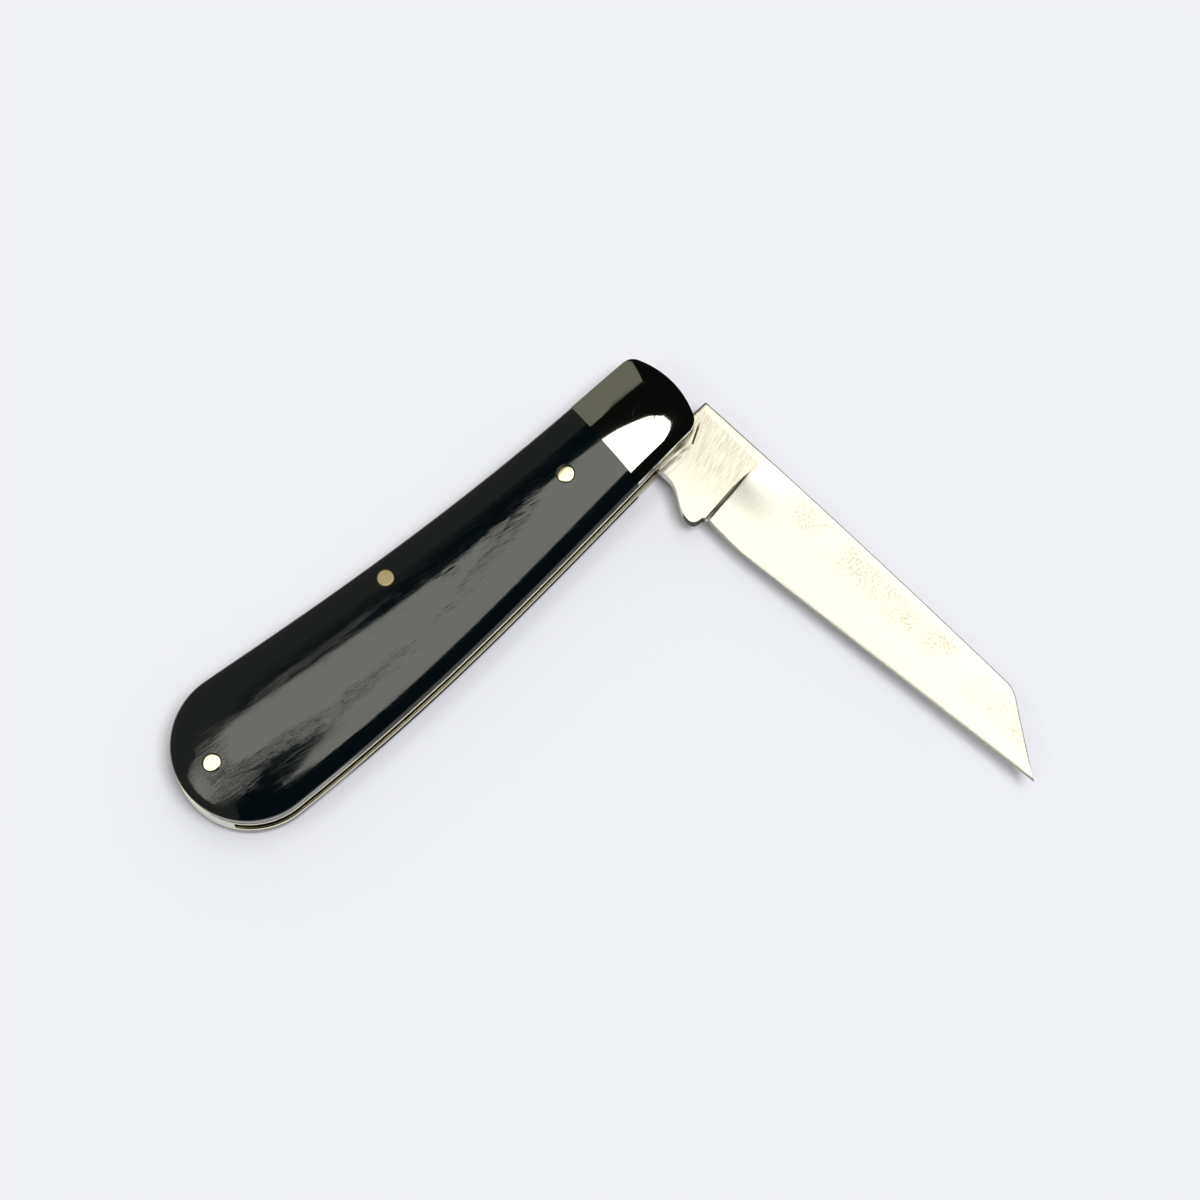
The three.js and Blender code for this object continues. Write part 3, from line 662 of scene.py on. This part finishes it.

# %% [markdown]
# The blade is satin: the last stone went across it, so its lines run from edge to spine. The flat of
# the tang was left coarser and is darker and warmer, in streaks, except for a strip along its spine. By
# the bolster the tang has rub streaks under a painted dark reflection of the bolster, a painted shadow
# line along the bolster's nose, and narrow sides painted dark as shade.

# %% Finish of the blade
GRIND = radians(17)          # the lines against square across the blade
HEEL = 15.3                  # from the pivot to where the grind starts
steel, tang_steel, tang_warm = (0.86, 0.855, 0.80), (0.77, 0.74, 0.685), (0.58, 0.54, 0.455)
blade_steel, tree, shader = finish_of("satin_blade_steel", steel, Metallic=1.0, Roughness=0.27)
x, y, z = tree.split(tree.place())
lines = tree.noise(tree.place(GRIND, (14, 1, 1)), 6.5, 3, 0.65)
fine = tree.noise(tree.place(GRIND, (30, 1, 1)), 16, 2, 0.5)
mottle = tree.noise(tree.place(), 3.2, 3, 0.75).step(0.42, 0.7)
cloud = tree.noise(tree.place(), 0.16, 2, 0.5).step(0.30, 0.6)
tang = y.step(-HEEL - 0.3, -HEEL + 0.5)
inside = 1 - x.step(6.7, 7.1)
near_spine = x.step(2.6, 5.6) * (1 - x.step(7.4, 8.2)) * (1 - y.step(-26, -18))
colour = tree.blend(tang, steel, tang_steel)
warm_streaks = tang * inside * x.step(-4, 3) * (0.25 + lines.step(0.42, 0.62) * 0.75)
colour = tree.blend(warm_streaks, colour, tang_warm)
colour = tree.blend((1 - tang) * near_spine * mottle * cloud, colour, (0.54, 0.48, 0.37))
# Rub streaks where the blade swings past the liner, darkened also as a painted dark reflection of the
# bolster's nose.
rub_streaks_and_reflection = tree.noise(tree.place(radians(-6), (9, 1, 1)), 1.9, 3, 0.6).step(0.40, 0.58)
rub_streaks_and_reflection = rub_streaks_and_reflection * y.step(-7.9, -6.3) * (1 - x.step(1.0, 2.6))
# Painted shadow: a dark line where the liner's shadow falls on the tang by the bolster's nose.
painted_shadow_line = (1 - (y - x * 0.51 + 7.95).size().step(0.11, 0.22)) * x.step(2.3, 2.6) * (1 - x.step(4.4, 5.6))
colour = tree.blend((rub_streaks_and_reflection * 0.8).most(painted_shadow_line * tang), colour, DARK_JOINT_AND_SHADE)
# Painted shade: the narrow sides at the kick and at the shoulder step are darkened, and also rougher.
sides = (1 - (z - MIDDLE).size().step(1.14, 1.22)) * y.step(-HEEL + 0.1, -HEEL + 0.3)
notch = (1 - y.step(-12.8, -12.2)) * (1 - x.step(-2, 0))
sides = sides * notch.most(y.step(-4.4, -4.1) * x.step(3.3, 3.7))
tree.feed(shader["Base Color"], tree.blend(sides, colour, DARK_JOINT_AND_SHADE))
tree.feed(shader["Roughness"], 0.24 + lines * 0.05 + fine * 0.03 + sides * 0.3)
tree.feed(shader["Normal"], tree.bump(1.0, lines * (0.2 + tang * 0.8) + fine * 0.2))
print("nodes in the blade:", len(blade_steel.node_tree.nodes))

# %% [markdown]
# Now the four covers take the place of their plain solids. Each is told which solid it stands for
# and which body it moves with, so it is posed as the solid was.

# %% Scales and bolsters
def fit(piece, body, slot, material, *nodes):
    """Puts a finish on a piece and says what it moves with and what it stands for."""
    piece.data.materials.append(material)
    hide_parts(*nodes)
    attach(piece, body)


for side, way in (("pile", 1), ("mark", -1)):
    fit(cover(f"{side}_scale_polished", scale_ring, ALONG, SCALE, way),
        "handle", "black_scale", horn, f"{side}_scale")
    fit(cover(f"{side}_bolster_polished", bolster_ring, CHEEK_COLUMNS, BOLSTER, way),
        "handle", "nickel_silver", nickel_silver, f"{side}_bolster")

# %% [markdown]
# Liners and spring are flat stock with a filed outline and edges rounded by the buff. That rounding
# catches a line of light along each edge, which is what the eye takes for brass in the photograph.

# %% Liners and spring
OUTER_EDGE, INNER_EDGE, SPRING_EDGE = (RIM, 0.06), (0.34, 0.12), (0.06, 0.06)
ROUND_STEPS = 5
SLOT_END = 215               # degrees round the butt where the spring ends and the slot begins


def stock(name, outline, low, high, low_edge, high_edge):
    """A plate between two heights whose edges are rounded by a quarter ellipse. An edge is given as
    its reach inwards and its depth."""
    ahead = np.roll(outline, -1, axis=0) - np.roll(outline, 1, axis=0)
    ahead /= np.linalg.norm(ahead, axis=1, keepdims=True)
    inwards = np.stack([-ahead[:, 1], ahead[:, 0]], axis=1)
    turn = np.linspace(0, pi / 2, ROUND_STEPS)
    rows = [(low_edge[0] * (1 - sin(t)), low + low_edge[1] * (1 - cos(t))) for t in turn]
    rows += [(high_edge[0] * (1 - cos(t)), high - high_edge[1] * (1 - sin(t))) for t in turn]
    grid = np.array([np.column_stack([outline + inwards * inset, np.full(len(outline), height)])
                     for inset, height in rows])
    count = len(outline)
    faces = grid_faces(len(rows), count, wrap=True)
    faces += [list(range(count))[::-1], [(len(rows) - 1) * count + i for i in range(count)]]
    return build(name, grid, faces, 50)


def back_height(x):
    order = np.argsort(BACK[0][:, 0])
    return np.interp(x, BACK[0][order, 0], BACK[0][order, 1])


def through(points, steps):
    """A smooth path through points: between two of them, a cubic whose slopes are half the step from
    the point before to the point after."""
    points = np.asarray(points, float)
    padded = np.concatenate([2 * points[:1] - points[1:2], points, 2 * points[-1:] - points[-2:-1]])
    t = np.linspace(0, 1, steps, endpoint=False)[:, None]
    parts = []
    for before, here, after, beyond in zip(padded, padded[1:], padded[2:], padded[3:]):
        slope, next_slope = (after - before) / 2, (beyond - here) / 2
        bend = 3 * (after - here) - 2 * slope - next_slope
        close = 2 * (here - after) + slope + next_slope
        parts.append(here + slope * t + bend * t**2 + close * t**3)
    return np.concatenate([*parts, points[-1:]])


def spring_outline():
    """Back of the handle and butt outside, and inside the arm, the boss at the centre pin and the
    seat of the tang."""
    seat, shoulder, kick, toe = 3.55, 3.7, (-11.9, 5.3), (-15.3, 5.35)
    boss, under_pin = 3.4, 2.8   # round the butt pin, and below the centre pin
    rear_depth, front_depth, front_at = 3.3, 2.5, -27.6   # of the two arms, below the back
    outer = BACK[0][BACK[0][:, 0] < shoulder][::6]
    butt = BUTT + BUTT_RADIUS * towards(np.linspace(BUTT_ANGLES[0], SLOT_END, 60))
    arm = CENTRE_PIN[0] + (BUTT_PIN[0] - CENTRE_PIN[0]) * 0.45
    inner = through([
        BUTT_PIN + boss * towards(-80), BUTT_PIN + boss * towards(-30),
        (arm - boss, back_height(arm - boss) - rear_depth),
        (arm + boss, back_height(arm + boss) - rear_depth),
        CENTRE_PIN - (0, under_pin), (front_at, back_height(front_at) - front_depth), toe], 14)
    seat_curve = bezier([kick, (-7, seat), (-4.6, seat)], np.linspace(0, 1, 12))
    return np.concatenate([[(shoulder, seat), (shoulder, back_height(shoulder))], outer, butt[1:],
                           inner, seat_curve])


liner_outline = np.concatenate([scale_ring(0), bolster_ring(0)[1:-1]])
for side, way in (("pile", 1), ("mark", -1)):
    inner, outer = MIDDLE + way * SPRING / 2, MIDDLE + way * (SPRING / 2 + LINER)
    (low, low_edge), (high, high_edge) = sorted([(inner, INNER_EDGE), (outer, OUTER_EDGE)])
    fit(stock(f"{side}_liner_brass", liner_outline, low, high, low_edge, high_edge),
        "handle", "brass_liner", brass, f"{side}_liner")
fit(stock("back_spring_filed", spring_outline(), MIDDLE - SPRING / 2, MIDDLE + SPRING / 2,
          SPRING_EDGE, SPRING_EDGE), "handle", "spring_steel", spring_steel, "backspring")

# %% [markdown]
# Pins are wire, cut long, headed over and filed down with the scale, so each end follows the curved
# face it stands in. The centre pin sits where the face begins to roll over. There the file went
# across flat, which is why that pin shows one even tone.

# %% Pins
PIN_ROUND, PIN_RINGS = 64, 12
WIRE_END, PIVOT_END = (0.012, 0.03), (0.006, 0.012)   # how proud an end stands, and its rim's drop
RIM_POWER = 24               # the higher, the narrower the rim
FILED_TILT, FILED_PROUD = -0.05, 0.085   # rise of the centre pin's flat end, across the handle


def pin_end(at, radius, way, filed, section, end):
    """Rings of one end, from its middle out to its rim: the face's height or, where it was filed
    across, a tilted plane, with the last hair of the rim rounded down."""
    share = np.sin(np.linspace(0, pi / 2, PIN_RINGS))
    flat = at + radius * share[:, None, None] * towards(np.linspace(0, 360, PIN_ROUND, endpoint=False))
    face = face_height(flat, section)
    plane = face[0, 0] + FILED_TILT * (flat[..., 1] - at[1])
    proud, drop = end
    height = SPRING / 2 + LINER + face * (1 - filed) + (plane + FILED_PROUD) * filed + proud
    height = height - drop * share[:, None]**RIM_POWER
    return np.concatenate([flat, (MIDDLE + way * height)[..., None]], axis=2)


def cut_end(at, radius, height):
    """Two rings of an end that was cut square: its middle and its rim."""
    ring = towards(np.linspace(0, 360, PIN_ROUND, endpoint=False))
    flat = at + radius * np.array([0, 1])[:, None, None] * ring
    return np.concatenate([flat, np.full((2, PIN_ROUND, 1), height)], axis=2)


def pin(name, at, radius, ends, section, shape, filed=0):
    """A pin between two ends. An end is 1 or -1 for the face of that side, or a plain height."""
    low, high = [pin_end(at, radius, end, filed, section, shape) if end in (1, -1)
                 else cut_end(at, radius, end) for end in ends]
    grid = np.concatenate([low, high[::-1]])
    return build(name, grid, grid_faces(len(grid), PIN_ROUND, wrap=True), 50)


pile_inside, mark_inside = MIDDLE + SPRING / 2, MIDDLE - SPRING / 2
for name, at, ends, filed, finish in (("centre_pin", CENTRE_PIN, (-1, 1), 1, tan_pin_brass),
                                      ("butt_pin", BUTT_PIN, (-1, 1), 0, pin_brass),
                                      ("pile_front_rivet", FRONT_PIN, (pile_inside, 1), 0, pin_brass),
                                      ("mark_front_rivet", FRONT_PIN, (-1, mark_inside), 0, pin_brass)):
    fit(pin(f"{name}_filed", at, PIN_RADIUS, ends, SCALE, WIRE_END, filed),
        "handle", "brass_pin", finish, name)
fit(pin("pivot_pin_polished", np.zeros(2), PIVOT_RADIUS, (-1, 1), BOLSTER, PIVOT_END),
    "handle", "nickel_silver", nickel_silver, "pivot_pin")
for name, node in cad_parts.items():
    if "bolster_rivet" in name:
        node.data.materials.clear()
        node.data.materials.append(nickel_silver)

# %% [markdown]
# The blade is one forging: tang, kick and ground blade. Both faces are a thickness over a flat
# outline: full stock at the tang, then a flat grind that starts in the wheel's round plunge and thins
# to the edge and to the tip. A grid whose columns run across the blade follows the outline exactly,
# and columns crowd where the plunge bends.

# %% Outline of the blade
TIP = np.array([70.4, 2.15])
THICK, TIP_THICK, EDGE_THICK = 2.5, 1.3, 0.3
EDGE_TAPER, HEEL_HEIGHT = 0.1118, -3.25   # rise of the edge per millimetre, its height at the heel
TANG = 3.5                   # half the height of the tang
SHOULDER, CLIP = 3.75, 59.8  # how far out the spine starts and where the clip cuts it
SPINE, SPINE_RISE = 7.9, 1.3   # height of the spine at the shoulder, and its rise up to the clip
CLIP_TOP, CLIP_ROUND = 9.2, 1.2


def edge_height(along):
    return TIP[1] - EDGE_TAPER * (TIP[0] - along)


def spine_height(along):
    return SPINE + SPINE_RISE * (along - SHOULDER) / (CLIP - SHOULDER)


def path(start, *pieces):
    """Straight lines and curves from a start: a piece is one point, or a corner and a point."""
    points = [np.array([start], float)]
    for piece in pieces:
        corners = np.array([points[-1][-1], *np.array(piece, float).reshape(-1, 2)])
        if len(corners) == 2:
            points.append(corners[1:])
        else:
            points.append(bezier(corners, np.linspace(0, 1, 16))[1:])
    return np.concatenate(points)


LOWER = path((-3.5, -2.7), (-3.5, -3.5, -2.7, -3.5), (4.6, -3.5), (6.2, -3.0, 7.8, -3.0),
             (9.0, -3.0, 10.7, -4.125), (12.4, -5.25, 13.6, -5.25), (14.75, -5.25, 14.75, -3.8),
             (HEEL, HEEL_HEIGHT), (19.8, edge_height(19.8), 24.3, edge_height(24.3)), TIP)
UPPER = path((-3.5, 2.7), (-3.5, 3.5, -2.7, 3.5), (SHOULDER - 0.01, TANG), (SHOULDER, SPINE),
             (31.2, spine_height(31.2) + 0.44, 58.6, spine_height(58.6)),
             (CLIP, CLIP_TOP, CLIP + CLIP_ROUND,
              CLIP_TOP - CLIP_ROUND * (CLIP_TOP - TIP[1]) / (TIP[0] - CLIP)), TIP)
print("blade outline:", len(LOWER), "points on the edge side,", len(UPPER), "on the spine side")

# %% [markdown]
# The thickness is worked out for the whole grid at once. What the wheel leaves, the sharpened bevel,
# the rounded spine and the rounded step at the shoulder are each one array over the same grid. The
# nail nick is cut into the mark side alone.

# %% Faces of the blade
PLUNGE_RADIUS, PLUNGE_AHEAD, PLUNGE_LEAN = 0.6, 0.4, 0.09
SWEEP, SWEEP_FROM, SWEEP_TO = 9, 0.34, 0.9   # the plunge runs out softly over the upper part
KEEN, KEEN_HEIGHT = 0.03, 0.2   # half thickness at the very edge, and height of the sharpened bevel
SPINE_ROUND, STEP_ROUND = 0.2, 0.35
NICK_BACK, NICK_HALF, NICK_WIDTH, NICK_DEPTH = 25.5, 5.5, 1.5, 0.45
NICK_DROP, NICK_LIP = 0.75, 0.12   # how far below the spine it starts, and how steeply
EDGE_SHARES = np.array([0, 0.03, 0.1, 0.2, 0.3, 0.4, 0.45, 0.5])   # rows crowd at the edge
SPINE_SHARES = np.array([0.26, SPINE_ROUND, 0.15, 0.1, 0.06, 0.03, 0.01, 0])   # and at the spine


def half_thickness(along, height):
    """Half the thickness: the lesser of the full stock and what the wheel leaves. The wheel leaves a
    straight line from edge to spine, a quarter round more over the plunge, and ahead of it, in the
    upper part, a share of the full stock that falls with the square of what is left of a sweep."""
    foot = HEEL + PLUNGE_AHEAD - PLUNGE_LEAN * (height - HEEL_HEIGHT)
    at = np.maximum(along, foot)
    taper = np.maximum((at - HEEL) / (TIP[0] - HEEL), 0)
    spine = (THICK + (TIP_THICK - THICK) * taper) / 2
    share = (height - edge_height(at)) / (spine_height(at) - edge_height(at))
    ground = EDGE_THICK / 2 + (spine - EDGE_THICK / 2) * share
    high = np.clip((share - SWEEP_FROM) / (SWEEP_TO - SWEEP_FROM), 0, 1)
    left = np.clip(1 - (at - foot) / SWEEP, 0, 1)
    ground = ground + (THICK / 2 - ground) * high**2 * (3 - 2 * high) * left**2
    back = np.clip(foot - along, 0, PLUNGE_RADIUS)
    ground = ground + PLUNGE_RADIUS - np.sqrt(PLUNGE_RADIUS**2 - back**2)
    ground = np.where(foot - along > PLUNGE_RADIUS, THICK, ground)
    soft = 0.02
    return (ground + THICK / 2 - np.sqrt((ground - THICK / 2)**2 + soft**2)) / 2


def nick_depth(along, height):
    """A crescent cut: deep along its upper line, running out towards the edge and to both ends."""
    width = NICK_WIDTH * np.maximum(1 - ((along - TIP[0] + NICK_BACK) / NICK_HALF)**2, 0)
    below = spine_height(along) - NICK_DROP - height
    share = np.clip(below / np.maximum(width, 0.01), 0, 1)
    rise = np.clip(below / NICK_LIP, 0, 1)
    return NICK_DEPTH * np.sqrt(width / NICK_WIDTH) * rise * (1 - share) * (width > 0)


def blade_grid():
    fills = [np.linspace(-3.5, 13.8, 70), np.linspace(SHOULDER, SHOULDER + STEP_ROUND, 9),
             np.linspace(13.8, 16.2, 90), np.linspace(16.2, 24.3, 40),
             np.linspace(24.3, TIP[0], 190)]
    along = np.unique(np.round(np.concatenate([*fills, LOWER[:, 0], UPPER[:, 0]]), 4))
    low = np.interp(along, LOWER[:, 0], LOWER[:, 1])
    high = np.interp(along, UPPER[:, 0], UPPER[:, 1])
    room = np.clip((high - low) / 2, 0, 1)[:, None]
    low_rows = low[:, None] + room * EDGE_SHARES
    high_rows = high[:, None] - room * SPINE_SHARES
    share = np.linspace(0, 1, 60)[1:-1]
    between = low_rows[:, -1:] + (high_rows[:, :1] - low_rows[:, -1:]) * share
    height = np.concatenate([low_rows, between, high_rows], axis=1)
    along = np.repeat(along[:, None], height.shape[1], axis=1)
    half = half_thickness(along, height)
    sharp = KEEN + (height - low[:, None]) * (EDGE_THICK / 2 - KEEN) / KEEN_HEIGHT
    half = np.where(along > HEEL, np.minimum(half, sharp), half)
    near = np.clip((high[:, None] - height) / room.clip(0.02), 0, SPINE_ROUND)
    half = half - (SPINE_ROUND - np.sqrt(SPINE_ROUND**2 - (SPINE_ROUND - near)**2)) * room
    step = np.where(height > TANG, np.clip(np.abs(along - SHOULDER), 0, STEP_ROUND), STEP_ROUND)
    half = half - STEP_ROUND + np.sqrt(STEP_ROUND**2 - (STEP_ROUND - step)**2)
    half = np.maximum(half, 0.01)
    pile = np.stack([height, -along, MIDDLE + half], axis=-1)
    mark = np.stack([height, -along, MIDDLE - half + nick_depth(along, height)], axis=-1)
    return np.concatenate([pile, mark[:, ::-1]], axis=1)


grid = blade_grid()
columns = grid.shape[1]
faces = grid_faces(len(grid), columns, wrap=True)
faces += [list(range(columns))[::-1], [(len(grid) - 1) * columns + i for i in range(columns)]]
faces = [face[::-1] for face in faces]
fit(build("blade_ground", grid, faces, 25), "blade", "blade_steel", blade_steel, "blade")

# %% [markdown]
